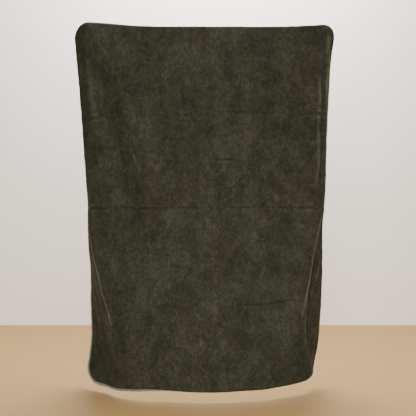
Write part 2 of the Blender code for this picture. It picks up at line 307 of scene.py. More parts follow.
# %% Creases and wrinkles
# Crests and furrows beside the long folds: half width, height, and points as (down, across).
CRESTS = (
    (0.006, 0.0020, ((1.00, -0.690), (1.05, -0.675), (1.245, -0.635), (1.41, -0.595), (1.70, -0.505))),
    (0.005, 0.0016, ((1.50, -0.735), (1.62, -0.655), (1.715, -0.590), (1.80, -0.560))),
    (0.010, 0.0026, ((1.00, 0.692), (1.095, 0.655), (1.23, 0.620), (1.41, 0.590), (1.66, 0.535))),
    (0.007, 0.0022, ((1.25, 0.730), (1.39, 0.690), (1.495, 0.665), (1.605, 0.610))),
    (0.006, 0.0024, ((1.72, 0.695), (1.86, 0.660))),
    (0.010, 0.0028, ((0.12, 0.695), (0.295, 0.688), (0.735, 0.688), (1.02, 0.692))),
    (0.020, 0.0035, ((0.30, -0.605), (0.545, -0.515), (0.90, -0.445))),
    (0.016, -0.0058, ((0.02, 0.655), (0.30, 0.655), (0.80, 0.650), (1.00, 0.640))),
    (0.028, -0.0072, ((0.06, -0.690), (0.50, -0.675), (1.00, -0.655))),
    (0.030, 0.0032, ((0.16, -0.635), (0.50, -0.605), (0.85, -0.565))),
    (0.034, -0.0070, ((0.28, -0.560), (0.50, -0.520), (0.67, -0.480), (0.95, -0.425))),
    (0.032, 0.0040, ((0.25, -0.480), (0.50, -0.425), (0.85, -0.345))),
    (0.020, -0.0034, ((1.35, -0.660), (1.60, -0.615), (1.80, -0.570))),
    (0.020, -0.0040, ((1.25, 0.665), (1.50, 0.630), (1.80, 0.620))),
)
CREST_FADE = 0.08
# (across, down) of both ends, half width, and height in metres. A negative height is a groove.
CREASES = (
    ((-0.74, 1.005), (0.74, 1.000), 0.011, -0.0034),
    ((-0.014, 0.04), (-0.010, 0.98), 0.012, -0.0012),
    ((-0.010, 1.02), (0.000, 1.98), 0.010, -0.0022),
    ((0.08, 0.485), (0.70, 0.490), 0.010, -0.0034),
    ((-0.66, 0.520), (0.05, 0.500), 0.010, -0.0019),
    ((0.05, 0.745), (0.16, 0.740), 0.010, -0.0046),
    ((0.18, 1.525), (0.52, 1.510), 0.010, -0.0041),
    ((-0.30, 1.500), (0.12, 1.490), 0.010, -0.0024),
    ((-0.365, 0.10), (-0.360, 1.90), 0.010, -0.0010),
    ((0.375, 0.10), (0.370, 1.90), 0.010, -0.0014),
)
WRINKLES = (
    ((0.140, 0.900), (0.235, 0.820), 0.012, -0.0042),
    ((0.160, 0.930), (0.250, 0.850), 0.014, 0.0011),
    ((0.250, 0.800), (0.330, 0.880), 0.012, -0.0033),
    ((0.300, 0.760), (0.350, 0.850), 0.014, 0.0012),
    ((-0.125, 0.380), (-0.100, 0.530), 0.012, -0.0037),
    ((-0.150, 0.370), (-0.128, 0.520), 0.014, 0.0009),
    ((0.270, 0.130), (0.160, 0.280), 0.016, -0.0042),
    ((0.430, 0.120), (0.400, 0.230), 0.018, -0.0042),
    ((-0.250, 0.260), (-0.290, 0.420), 0.018, -0.0037),
    ((-0.420, 0.600), (-0.330, 0.800), 0.016, -0.0049),
    ((-0.380, 0.580), (-0.290, 0.780), 0.018, 0.0011),
    ((-0.500, 0.780), (-0.420, 0.930), 0.016, 0.0014),
    ((-0.330, 1.180), (-0.240, 1.420), 0.014, 0.0014),
    ((-0.370, 1.190), (-0.300, 1.400), 0.014, -0.0029),
    ((-0.100, 1.330), (-0.020, 1.360), 0.018, -0.0037),
    ((-0.020, 1.660), (-0.060, 1.760), 0.018, -0.0042),
    ((-0.330, 1.700), (-0.450, 1.790), 0.018, -0.0049),
    ((-0.280, 1.720), (-0.400, 1.820), 0.020, 0.0014),
    ((0.370, 1.700), (0.430, 1.830), 0.022, -0.0059),
    ((0.330, 1.720), (0.360, 1.830), 0.020, 0.0015),
    ((0.300, 1.850), (0.200, 1.960), 0.020, -0.0037),
    ((-0.520, 1.560), (-0.430, 1.840), 0.020, -0.0049),
    ((-0.560, 1.600), (-0.500, 1.860), 0.020, 0.0014),
    ((0.440, 1.060), (0.400, 1.360), 0.020, -0.0029),
    ((0.120, 1.230), (0.060, 1.330), 0.016, -0.0026),
    ((-0.560, 0.090), (-0.470, 0.230), 0.018, 0.0011),
    ((0.560, 0.180), (0.520, 0.400), 0.018, -0.0029),
    ((0.070, 0.080), (0.120, 0.260), 0.020, 0.0009),
)


def noise_field(across, down, size, seed, detail=2):
    """Smooth noise between about -1 and 1, with blotches of about the size given in metres."""
    flat = np.broadcast_arrays(across, down)
    shape = flat[0].shape
    values = [
        noise.fractal((a / size, d / size, seed), 1.0, 2.0, detail)
        for a, d in zip(flat[0].ravel(), flat[1].ravel())
    ]
    return np.array(values).reshape(shape)


def line_height(across, down, start, end, half_width):
    """A bell shape across the line from start to end, which fades out at its two ends."""
    run = np.subtract(end, start)
    length = np.hypot(*run)
    along = ((across - start[0]) * run[0] + (down - start[1]) * run[1]) / length
    aside = ((across - start[0]) * run[1] - (down - start[1]) * run[0]) / length
    fade = min(0.25 * length, 0.06)
    ends = smooth((along + fade) / (2 * fade)) * smooth((length - along + fade) / (2 * fade))
    return ends * np.exp(-((aside / half_width) ** 2))


grid_across, grid_down = np.meshgrid(table_across, table_down)
uneven = 0.75 + 0.5 * noise_field(grid_across, grid_down, 0.11, 3.7, 1)
bent_across = grid_across + 0.010 * noise_field(grid_across, grid_down, 0.16, 8.1, 1)
bent_down = grid_down + 0.006 * noise_field(grid_across, grid_down, 0.22, 1.3, 1)
height = np.zeros_like(grid_across)
for start, end, half_width, rise in CREASES:
    height += rise * uneven * line_height(grid_across, bent_down, start, end, half_width)
for start, end, half_width, rise in WRINKLES:
    height += rise * uneven * line_height(bent_across, bent_down, start, end, half_width)
for half_width, rise, points in CRESTS:
    downs, places = zip(*points)
    off = (bent_across - np.interp(grid_down, downs, places)) / half_width
    ends = smooth((grid_down - downs[0]) / CREST_FADE) * smooth((downs[-1] - grid_down) / CREST_FADE)
    height += rise * uneven * ends * np.exp(-(off**2))
height += 0.0016 * noise_field(grid_across, grid_down, 0.075, 5.9)
print("wrinkles stand", round(height.max() * 1000, 1), "and", round(height.min() * 1000, 1), "mm")


# %% Put the wrinkles on the drape
def unit(vectors):
    """Each vector with its length made 1."""
    return vectors / np.linalg.norm(vectors, axis=-1, keepdims=True)


def front_of(points):
    """The direction to the front at each crossing of the table."""
    to_hem, to_right = np.gradient(points, TABLE_STEP, axis=(0, 1))
    return unit(np.cross(to_hem, to_right))


def curl_of(points):
    """How sharply the cloth curls, in 1/m: positive on a crest and negative in a valley."""
    front = front_of(points)
    turn_down, turn_across = np.gradient(front, TABLE_STEP, axis=(0, 1))
    step_down, step_across = np.gradient(points, TABLE_STEP, axis=(0, 1))
    return ((turn_down * step_down).sum(-1) + (turn_across * step_across).sum(-1))[..., None]


hung = hung + front_of(hung) * height[..., None]
tables = {
    "curl": curl_of(hung),
    "place": hung,
    "front": front_of(hung),
    "right": unit(np.gradient(hung, TABLE_STEP, axis=1)),
    "hemwards": unit(np.gradient(hung, TABLE_STEP, axis=0)),
}
print("drape tables", {name: values.shape for name, values in tables.items()})

# %% [markdown]
# ## Reading the drape anywhere
# The pieces need the drape between the crossings of the table too. Four neighbours in each
# direction, weighted as a Catmull-Rom curve weights its points, give a value that runs smoothly.

# %% Look up the drape
def catmull_rom(share):
    """The weights of four neighbours, for a place between the middle two."""
    s, s2, s3 = share, share**2, share**3
    return (
        (2 * s2 - s - s3) / 2, (2 - 5 * s2 + 3 * s3) / 2,
        (s + 4 * s2 - 3 * s3) / 2, (s3 - s2) / 2,
    )


def drape(name, across, down):
    """The values of one drape table at places on the flat cut."""
    values = tables[name]
    column = (across + WIDTH / 2) / TABLE_STEP
    row = down / TABLE_STEP
    i = np.clip(np.floor(column).astype(int), 1, values.shape[1] - 3)
    j = np.clip(np.floor(row).astype(int), 1, values.shape[0] - 3)
    columns, rows = catmull_rom(column - i), catmull_rom(row - j)
    found = 0.0
    for a in range(4):
        for b in range(4):
            weight = columns[a] * rows[b]
            found = found + weight[..., None] * values[j + b - 1, i + a - 1]
    return found


print("middle of the blanket", drape("place", np.array([0.0]), np.array([1.0])).round(3))

# %% [markdown]
# ## The rolled edge
# The tape is tighter than the pile, so along the top, the right side and part of the hem it pulls
# the edge round to the back, where it can't be seen. At the left and the lower left corner the
# edge stays open and shows the tape. The last 30 mm of the cloth are therefore bent along an arc.

# %% Roll the edge back
ROLL_REACH = 0.030
ROLL_OVER = 0.020
ROLL_STEPS = 12
# The distance round the cut, clockwise from its left top corner, and the roll there in degrees.
EDGE_ROLL = (
    (0.00, 60), (0.35, 78), (0.60, 105), (3.50, 112), (4.25, 100), (4.60, 25), (5.00, 4),
    (6.00, 14), (6.60, 40), (6.85, 48), (7.00, 60),
)


def from_corner(across, down):
    """(right, below): places as seen from the centre of their corner's curve, outwards."""
    right = abs(across) - (WIDTH / 2 - CORNER_RADIUS)
    below = abs(down - LENGTH / 2) - (LENGTH / 2 - CORNER_RADIUS)
    return right, below


def edge_frame(across, down):
    """(inside, out right, out down): how far inside the cut places lie, and the way out."""
    right, below = from_corner(across, down)
    side, end = np.where(across < 0, -1, 1), np.where(down < LENGTH / 2, -1, 1)
    corner = (right > 0) & (below > 0)
    reach = np.where(corner, np.hypot(right, below), np.maximum(right, below))
    safe = np.where(corner, reach, 1.0)
    by_side = right >= below
    out_right = side * np.where(corner, right / safe, by_side)
    out_down = end * np.where(corner, below / safe, ~by_side)
    return CORNER_RADIUS - reach, out_right, out_down


def round_the_cut(across, down, out_right, out_down):
    """The distance round the cut, clockwise from its left top corner."""
    along = across + WIDTH / 2
    by_end = abs(out_down) > abs(out_right)
    ends = np.where(out_down < 0, along, 2 * WIDTH + LENGTH - along)
    sides = np.where(out_right > 0, WIDTH + down, 2 * (WIDTH + LENGTH) - down)
    return np.where(by_end, ends, sides)


def cloth(across, down):
    """(place, front): where the middle of the cloth is, and its direction to the front.

    It takes arrays of places on the flat cut, and a little past the cut's edge too.
    """
    inside, out_right, out_down = edge_frame(across, down)
    past = np.maximum(ROLL_REACH - inside, 0.0)
    base_across, base_down = across - out_right * past, down - out_down * past
    front = unit(drape("front", base_across, base_down))
    right = drape("right", base_across, base_down)
    hemwards = drape("hemwards", base_across, base_down)
    out = right * out_right[..., None] + hemwards * out_down[..., None]
    out = unit(out - front * (out * front).sum(-1, keepdims=True))
    around = round_the_cut(base_across, base_down, out_right, out_down)
    roll = np.interp(around, *zip(*EDGE_ROLL)) * pi / 180
    place = drape("place", base_across, base_down)
    for k in range(ROLL_STEPS):
        turned = (roll * smooth(past * (k + 0.5) / ROLL_STEPS / ROLL_OVER))[..., None]
        step = (past / ROLL_STEPS)[..., None]
        place = place + (out * np.cos(turned) - front * np.sin(turned)) * step
    turned = (roll * smooth(past / ROLL_OVER))[..., None]
    return place, front * np.cos(turned) + out * np.sin(turned)


print("top edge at", cloth(np.array([0.0]), np.array([0.0]))[0].round(3))

# %% [markdown]
# ## Making a cloth mesh
# A cloth is a grid of quads, finest where it bends most. Its corner cells are squeezed into a
# quarter circle. The side that nobody sees closes the mesh with bigger faces, so that it is one
# solid skin without spending faces where they don't show.

# %% Grid and skin helpers
def grid_lines(size, edge_step, step):
    """Distances of grid lines from the middle of a side: fine near both ends, even between."""
    fine = np.linspace(0, CORNER_RADIUS / 2, round(CORNER_RADIUS / 2 / edge_step) + 1)
    medium = np.linspace(fine[-1], CORNER_RADIUS, round(CORNER_RADIUS / 2 / step) + 1)
    edge = np.concatenate([fine[:-1], medium])
    middle = np.linspace(edge[-1], size - edge[-1], round((size - 2 * edge[-1]) / step) + 1)
    return np.concatenate([edge[:-1], middle, size - edge[:-1][::-1]]) - size / 2


def cut_grid(edge_step, step):
    """(across, down): the crossings of a grid on the flat cut, with its rounded corners."""
    across, down = np.meshgrid(grid_lines(WIDTH, edge_step, step), grid_lines(LENGTH, edge_step, step))
    right = abs(across) - (WIDTH / 2 - CORNER_RADIUS)
    below = abs(down) - (LENGTH / 2 - CORNER_RADIUS)
    corner = (right > 0) & (below > 0)
    squeezed_right = right * np.sqrt(1 - (below / CORNER_RADIUS) ** 2 / 2 * corner)
    squeezed_below = below * np.sqrt(1 - (right / CORNER_RADIUS) ** 2 / 2 * corner)
    across = np.where(corner, np.sign(across) * (squeezed_right + WIDTH / 2 - CORNER_RADIUS), across)
    down = np.where(corner, np.sign(down) * (squeezed_below + LENGTH / 2 - CORNER_RADIUS), down)
    return across, down + LENGTH / 2


def skin(shown, hidden, skip):
    """(points, faces, kinds, keys) of a closed skin from two grids of places, the shown one first.

    The shown grid keeps every crossing. The hidden one keeps its rim and every skip-th crossing.
    """
    rows, columns = shown.shape[:2]
    points = list(shown.reshape(-1, 3))
    keys = [(j, i, 0) for j in range(rows) for i in range(columns)]
    behind = {}

    def back_point(j, i):
        if (j, i) not in behind:
            behind[j, i] = len(points)
            points.append(hidden[j, i])
            keys.append((j, i, 1))
        return behind[j, i]

    faces, kinds = [], []
    for j in range(rows - 1):
        for i in range(columns - 1):
            a = j * columns + i
            faces.append((a, a + columns, a + columns + 1, a + 1))
            kinds.append(0)
    rim = [(0, i) for i in range(columns)] + [(j, columns - 1) for j in range(1, rows)]
    rim += [(rows - 1, i) for i in range(columns - 2, -1, -1)] + [(j, 0) for j in range(rows - 2, 0, -1)]
    for (j, i), (l, k) in zip(rim, rim[1:] + rim[:1]):
        faces.append((j * columns + i, l * columns + k, back_point(l, k), back_point(j, i)))
        kinds.append(1)
    row_cuts = sorted({*range(0, rows, skip), rows - 1})
    column_cuts = sorted({*range(0, columns, skip), columns - 1})
    for top, low in zip(row_cuts, row_cuts[1:]):
        for left, right in zip(column_cuts, column_cuts[1:]):
            loop = [(top, i) for i in (range(left, right) if top == 0 else [left])]
            loop += [(j, right) for j in (range(top, low) if right == columns - 1 else [top])]
            loop += [(low, i) for i in (range(right, left, -1) if low == rows - 1 else [right])]
            loop += [(j, left) for j in (range(low, top, -1) if left == 0 else [low])]
            faces.append([back_point(*key) for key in loop])
            kinds.append(2)
    return points, faces, kinds, keys


print("grid lines across", len(grid_lines(WIDTH, 0.003, 0.006)))

# %% [markdown]
# Every piece also carries two kinds of coordinates. `cut` is its place on the flat cut in metres,
# which the finishes read, so that a weave follows the cloth wherever it hangs. The UV map lays the
# same cut out flat for anyone who bakes the finishes to an image.

# %% Turn a skin into a piece
def finish_piece(name, points, faces, cut, uvs, material, curl=None):
    """A smooth-shaded mesh object with its cut coordinates, UV map and material."""
    mesh = bpy.data.meshes.new(name)
    mesh.from_pydata([tuple(p) for p in points], [], [list(f) for f in faces])
    place = mesh.attributes.new("cut", "FLOAT_VECTOR", "POINT")
    place.data.foreach_set("vector", np.asarray(cut, np.float32).ravel())
    if curl is not None:
        mesh.attributes.new("curl", "FLOAT", "POINT").data.foreach_set("value", curl)
    layer = mesh.uv_layers.new(name="OFBake")
    layer.data.foreach_set("uv", np.asarray(uvs, np.float32).ravel())
    mesh.materials.append(material)
    mesh.shade_smooth()
    mesh.validate()
    piece = bpy.data.objects.new(name, mesh)
    bpy.context.scene.collection.objects.link(piece)
    triangles = sum(len(p.vertices) - 2 for p in mesh.polygons)
    print(f"{name}: {len(mesh.vertices)} points, {triangles} triangles")
    return piece


# How sharply the cloth curls is kept on each point. The fleece finish reads it to paint a highlight on
# crests and shade in valleys.
SHARP_CURL = 60.0
# The rim's faces lie in a narrow column of the UV map, one above the other.
RIM_PLACES = 997
RIM_FACE = 1 / 1100


def skin_piece(name, across, down, shown, hidden, skip, material, mirrored=False):
    """A piece from the two sides of a cloth grid. mirrored is for a cloth that shows at the back."""
    points, faces, kinds, keys = skin(shown, hidden, skip)
    cut = [(across[j, i], down[j, i], side * 0.01) for j, i, side in keys]
    if mirrored:
        faces = [tuple(reversed(face)) for face in faces]
    uvs = []
    for number, (face, kind) in enumerate(zip(faces, kinds)):
        for corner, vertex in enumerate(face):
            a, d = cut[vertex][0] / WIDTH + 0.5, 1 - cut[vertex][1] / LENGTH
            if kind == 0:
                uvs.append((0.002 + 0.94 * a, 0.002 + 0.996 * d))
            elif kind == 1:
                along = number % RIM_PLACES / RIM_PLACES + (corner in (1, 2)) * RIM_FACE
                uvs.append((0.948 + 0.004 * (corner > 1), along))
            else:
                uvs.append((0.956 + 0.042 * a, 0.002 + 0.996 * d))
    curl = np.clip(drape("curl", across, down)[..., 0] / SHARP_CURL, -1, 1)
    curl = np.array([curl[j, i] for j, i, _ in keys], np.float32)
    return finish_piece(name, points, faces, cut, uvs, material, curl)


# %% [markdown]
# ## Finishes
# A finish is a small network of nodes. `Net` keeps one short: it adds a node, sets its inputs, and
# links those inputs that are given another node's output.

# %% Node helper
NOISE_SHIFT = (0.137, 0.0, 0.071)


class Net:
    """Adds nodes to one material."""

    def __init__(self, name, colour, roughness):
        self.material = plain_finish(name, colour, roughness)
        self.tree = self.material.node_tree
        self.shader = self.tree.nodes["Principled BSDF"]

    def set(self, node, **inputs):
        for socket, value in inputs.items():
            target = node.inputs[int(socket[1:])] if socket[1:].isdigit() else node.inputs[socket]
            if isinstance(value, bpy.types.NodeSocket):
                self.tree.links.new(value, target)
            else:
                target.default_value = value
        return node

    def add(self, kind, settings=(), **inputs):
        node = self.tree.nodes.new("ShaderNode" + kind)
        for name, value in dict(settings).items():
            setattr(node, name, value)
        return self.set(node, **inputs)

    def cut(self, scale=(1, 1, 1), turn=0.0):
        """The place on the flat cut, stretched and turned.

        It is shifted a little, because every layer of the noise has a seam through its own zero.
        """
        place = self.add("Attribute", {"attribute_name": "cut"}).outputs["Vector"]
        turned = (0, 0, turn)
        return self.add("Mapping", _0=place, _1=NOISE_SHIFT, _2=turned, _3=scale).outputs[0]

    def curl(self):
        """Above 0 on a sharp crest and below 0 in a sharp valley."""
        return self.add("Attribute", {"attribute_name": "curl"}).outputs["Fac"]

    def noise(self, size, detail=3.0, rough=0.55, stretch=(1, 1, 1), warp=0.0):
        """Noise with blotches of about the size given in metres."""
        node = self.add("TexNoise", Vector=self.cut(stretch), Scale=1 / size, Detail=detail)
        return self.set(node, Roughness=rough, Distortion=warp).outputs[0]

    def maths(self, operation, first, second=0.0, third=0.0):
        settings = {"operation": operation}
        return self.add("Math", settings, _0=first, _1=second, _2=third).outputs[0]

    def ramp(self, value, low, high, to_low=0.0, to_high=1.0):
        node = self.add("MapRange", {"interpolation_type": "SMOOTHSTEP"}, _0=value, _1=low, _2=high)
        return self.set(node, _3=to_low, _4=to_high).outputs[0]

    def mix(self, share, first, second):
        """One colour turning into another."""
        node = self.add("Mix", {"data_type": "RGBA"}, _0=share)
        for socket, colour in ((6, first), (7, second)):
            value = colour if isinstance(colour, bpy.types.NodeSocket) else (*colour, 1.0)
            self.set(node, **{f"_{socket}": value})
        return node.outputs[2]

    def bump(self, height, distance, strength=1.0, below=None):
        """A normal from a height between 0 and 1, on top of another normal."""
        node = self.add("Bump", Height=height, Distance=distance, Strength=strength)
        if below is not None:
            self.set(node, Normal=below)
        return node.outputs[0]


print("node helper ready")

# %% [markdown]
# ### Fleece
# Fleece is a dense pile of fine fibres. Seen straight on it is dark, because light is lost between
# the fibres. Where the cloth turns away, the fibre tips catch the light and it is pale, and that
# is what the sheen of the shader does. The nap lies this way and that, in blotches from a
# fingertip to a hand wide, some greener and some browner. Small tufts and stretched streaks of
# fibre make the bump.

# %% Fleece finish
FLEECE_DARK = (0.0161, 0.0173, 0.0112)
FLEECE_LIGHT = (0.0536, 0.0550, 0.0378)
FLEECE_BROWN = (0.0510, 0.0435, 0.0255)
FLEECE_GREEN = (0.0215, 0.0360, 0.0200)
# The next two colours are painted light: a painted highlight for sharp crests and a painted shade for
# sharp valleys.
FLEECE_CREST_HIGHLIGHT = (0.1450, 0.1480, 0.0960)
FLEECE_VALLEY_SHADE = (0.0100, 0.0105, 0.0070)

fleece = Net("fleece_finish", FLEECE_LIGHT, 1.0)
lay = fleece.noise(0.18, 6.0, 0.97, (1, 0.85, 1))
tint = fleece.noise(0.30, 6.0, 0.9, (1, 0.7, 1))
tufts = fleece.noise(0.0110, 4.0, 0.75, (1.0, 0.55, 1))
fibres = fleece.noise(0.0030, 2.0, 0.6, (1.0, 0.35, 1))
ground = fleece.mix(fleece.ramp(lay, 0.35, 0.65), FLEECE_DARK, FLEECE_LIGHT)
green = fleece.maths("MULTIPLY", fleece.ramp(tint, 0.50, 0.63), 0.50)
brown = fleece.maths("MULTIPLY", fleece.ramp(tint, 0.50, 0.37), 0.50)
ground = fleece.mix(brown, fleece.mix(green, ground, FLEECE_GREEN), FLEECE_BROWN)
# Painted shade: the hollows between the tufts, where the bump is low, are painted darker.
ground = fleece.mix(fleece.ramp(tufts, 0.38, 0.66, 0.58, 0.0), ground, FLEECE_DARK)
# Painted highlight and painted shade: sharp crests of the cloth are painted paler, and sharp valleys
# darker.
curl = fleece.curl()
ground = fleece.mix(fleece.ramp(curl, 0.18, 0.85, 0.0, 0.50), ground, FLEECE_CREST_HIGHLIGHT)
ground = fleece.mix(fleece.ramp(curl, -0.10, -0.80, 0.0, 0.66), ground, FLEECE_VALLEY_SHADE)
fleece.set(fleece.shader, **{"Base Color": ground})
rough_pile = fleece.bump(tufts, 0.0045, 0.8)
fleece.set(fleece.shader, Normal=fleece.bump(fibres, 0.0016, 0.6, rough_pile))
fleece.set(fleece.shader, **{
    "Sheen Weight": 0.10, "Sheen Roughness": 0.25, "Sheen Tint": (0.88, 0.84, 0.62, 1.0),
    "Specular IOR Level": 0.12,
})
print("fleece", len(fleece.tree.nodes), "nodes")

# %% [markdown]
# ### Canvas
# The back is a plain weave: one thread over, one thread under. Two sets of fine bands at right
# angles, multiplied, give its little hills. Thicker threads, called slubs, show as faint streaks.

# %% Canvas finish
CANVAS_DARK = (0.098, 0.118, 0.086)
CANVAS_LIGHT = (0.150, 0.178, 0.132)
THREAD_PITCH = 0.0013
WAVE_PER_METRE = 0.314


def weave(net, pitch, turn=0.0):
    """The hills of a plain weave with that distance between threads."""
    bands = []
    for direction in ("X", "Y"):
        settings = {"wave_type": "BANDS", "bands_direction": direction}
        scale = WAVE_PER_METRE / pitch
        bands.append(net.add("TexWave", settings, Vector=net.cut(turn=turn), Scale=scale).outputs[1])
    return net.maths("MULTIPLY", *bands)


canvas = Net("canvas_finish", CANVAS_LIGHT, 0.85)
worn = canvas.noise(0.09, 4.0, 0.6)
slubs = canvas.maths("MAXIMUM", canvas.noise(0.004, 1.0, 0.5, (1, 0.05, 1)),
                     canvas.noise(0.004, 1.0, 0.5, (0.05, 1, 1)))
cloth_colour = canvas.mix(canvas.ramp(worn, 0.3, 0.7), CANVAS_DARK, CANVAS_LIGHT)
streak = canvas.maths("MULTIPLY", canvas.ramp(slubs, 0.55, 0.8), 0.5)
cloth_colour = canvas.mix(streak, cloth_colour, (0.19, 0.215, 0.165))
threads = weave(canvas, THREAD_PITCH)
# Painted shade: the gaps between the threads, where the weave's hills are low, are painted darker.
cloth_colour = canvas.mix(canvas.ramp(threads, 0.0, 0.8, 0.35, 0.0), cloth_colour, CANVAS_DARK)
canvas.set(canvas.shader, **{"Base Color": cloth_colour})
canvas.set(canvas.shader, Roughness=canvas.ramp(worn, 0.3, 0.7, 0.78, 0.92))
slub_bump = canvas.bump(slubs, 0.0006, 0.7)
canvas.set(canvas.shader, Normal=canvas.bump(threads, 0.0007, 0.8, slub_bump))
canvas.set(canvas.shader, **{"Sheen Weight": 0.12, "Sheen Roughness": 0.5})
print("canvas", len(canvas.tree.nodes), "nodes")

# %% [markdown]
# ### Tape, thread and label
# Binding tape is a twill, with fine diagonal ribs. The thread is a shade darker and a little
# glossy. The care label is a smooth satin ribbon, left blank here.

# %% Tape, thread and label finishes
TAPE_DARK, TAPE_LIGHT = (0.115, 0.140, 0.104), (0.180, 0.215, 0.160)
THREAD_DARK, THREAD_LIGHT = (0.085, 0.105, 0.078), (0.120, 0.150, 0.110)
LABEL_WHITE, LABEL_SHADE = (0.72, 0.71, 0.67), (0.60, 0.59, 0.55)


def banded_finish(name, dark, light, pitch, turn, depth, roughness):
    """A finish of fine slanting bands over uneven wear."""
    net = Net(name, light, roughness)
    wear = net.noise(0.02, 4.0, 0.6)
    scale = WAVE_PER_METRE / pitch
    ribs = net.add("TexWave", Vector=net.cut(turn=turn), Scale=scale, Distortion=0.6).outputs[1]
    colour = net.mix(net.ramp(wear, 0.3, 0.7), dark, light)
    # Painted shade: the grooves between the ribs, where the bump is low, are painted darker.
    colour = net.mix(net.ramp(ribs, 0.0, 0.7, 0.4, 0.0), colour, dark)
    net.set(net.shader, **{"Base Color": colour})
    net.set(net.shader, Roughness=net.ramp(wear, 0.3, 0.7, roughness - 0.08, roughness + 0.06))
    net.set(net.shader, Normal=net.bump(ribs, depth, 0.8))
    return net


tape = banded_finish("tape_finish", TAPE_DARK, TAPE_LIGHT, 0.0012, pi / 4, 0.0004, 0.8)
tape.set(tape.shader, **{"Sheen Weight": 0.2, "Sheen Roughness": 0.5})
thread = banded_finish("thread_finish", THREAD_DARK, THREAD_LIGHT, 0.0008, pi / 3, 0.0002, 0.55)
label = banded_finish("label_finish", LABEL_SHADE, LABEL_WHITE, 0.0006, 0.0, 0.0001, 0.45)
print("finishes", [n.material.name for n in (tape, thread, label)])

# %% [markdown]
# ## Fleece
# The pile stands 4 mm off its backing, in tufts of uneven height. It is pressed down where the
# tape grips it, so it bulges beside the tape's hem. The tufts are real height on a 7 mm grid,
# which is as fine as keeps the piece light, and the finish adds what is finer.

# %% Fleece piece
LAYER_GAP = 0.0004
PILE = 0.0040
PRESSED_PILE = 0.0018
TAPE_COVER = 0.014
PILE_RECOVERS_OVER = 0.008
TUFT_HEIGHT = 0.0011
FLEECE_BACKING = 0.0010
FLEECE_EDGE_STEP = 0.0032
FLEECE_STEP = 0.0070


def pile_height(across, down):
    """How far the tips of the pile stand off the middle of the cloth."""
    inside = edge_frame(across, down)[0]
    free = smooth((inside - TAPE_COVER) / PILE_RECOVERS_OVER)
    tuft = noise_field(across, down, 0.016, 2.2, 3) + 0.8 * noise_field(across, down, 0.042, 7.4)
    return LAYER_GAP / 2 + PRESSED_PILE + free * (PILE - PRESSED_PILE + TUFT_HEIGHT * tuft)


across, down = cut_grid(FLEECE_EDGE_STEP, FLEECE_STEP)
place, front = cloth(across, down)
fleece_face = skin_piece(
    "fleece_face", across, down,
    place + front * pile_height(across, down)[..., None],
    place + front * (LAYER_GAP / 2 + FLEECE_BACKING),
    2, fleece.material,
)

# %% [markdown]
# ## Canvas
# The canvas lies behind the fleece and hangs with it. It is thinner and crisper, so it keeps a
# fine ripple of its own beside the seam, where the tape has drawn it in.

# %% Canvas piece
CANVAS = 0.0012
RIPPLE = 0.0009
RIPPLE_LENGTH = 0.019
CANVAS_EDGE_STEP = 0.0040
CANVAS_STEP = 0.0090


def seam_ripple(across, down):
    """Small waves beside the seam, which die out within a few centimetres."""
    inside, out_right, out_down = edge_frame(across, down)
    around = round_the_cut(across, down, out_right, out_down)
    uneven = noise_field(across, down, 0.05, 6.6, 1)
    fade = np.exp(-np.maximum(inside - TAPE_COVER, 0) / 0.020) * smooth(inside / TAPE_COVER - 0.9)
    return RIPPLE * fade * (0.4 + uneven) * np.sin(2 * pi * around / RIPPLE_LENGTH + 5 * uneven)


across, down = cut_grid(CANVAS_EDGE_STEP, CANVAS_STEP)
place, front = cloth(across, down)
behind = LAYER_GAP / 2 + CANVAS + seam_ripple(across, down)
canvas_back = skin_piece(
    "canvas_back", across, down,
    place - front * behind[..., None],
    place - front * LAYER_GAP / 2,
    2, canvas.material, mirrored=True,
)

# %% [markdown]
# ## Binding tape
# The tape is a flat ribbon with both its edges folded under, and it is folded over the blanket's
# edge like the cover of a book. It is one closed tube here: a profile of the folded ribbon swept
# round the cut. The stitches draw it in at every step, so its faces and its fold run in small
# waves.

# %% Stations round the cut
def cut_edge(count):
    """(across, down, out right, out down) at even steps round the rounded cut."""
    straight_w, straight_l = WIDTH - 2 * CORNER_RADIUS, LENGTH - 2 * CORNER_RADIUS
    quarter = pi * CORNER_RADIUS / 2
    half_round = [straight_w, quarter, straight_l, quarter]
    runs = np.cumsum([0, *half_round, *half_round])
    found = []
    for along in np.arange(count) / count * runs[-1]:
        run = int(np.searchsorted(runs, along, side="right")) - 1
        into = along - runs[run]
        half_w, half_l = straight_w / 2, straight_l / 2
        turn = (run // 2) * pi / 2 + (into / CORNER_RADIUS if run % 2 else 0.0)
        out = (sin(turn), -cos(turn))
        centres = [(-half_w, -half_l), (half_w, -half_l), (half_w, half_l), (-half_w, half_l)]
        x, y = centres[(run // 2 + run % 2) % 4]
        if run % 2 == 0:
            x, y = x + cos(turn) * into, y + sin(turn) * into
        found.append((x + out[0] * CORNER_RADIUS, y + out[1] * CORNER_RADIUS + LENGTH / 2, *out))
    return np.array(found).T, runs[-1]


TAPE_STEP = 0.0045
edge_length = cut_edge(4)[1]
tape_stations = round(edge_length / TAPE_STEP)
print("the edge is", round(edge_length, 3), "m long, in", tape_stations, "steps")

# %% Tape profile
TAPE_THICKNESS = 0.0010
HEM_EXTRA = 0.0005
FRONT_UNDER = LAYER_GAP / 2 + PRESSED_PILE + 0.0001
BACK_UNDER = LAYER_GAP / 2 + CANVAS + 0.0001
NOSE = 0.0024
STITCH_INSIDE = 0.0111
PUCKER = 0.00045
PUCKER_LENGTH = 0.0105
# Where the tape's flat faces have points, from the hem to the fold, and where the hem ends.
FACE_POINTS = (0.0125, STITCH_INSIDE, 0.0095, 0.007, 0.0035)
HEM_END = 0.009


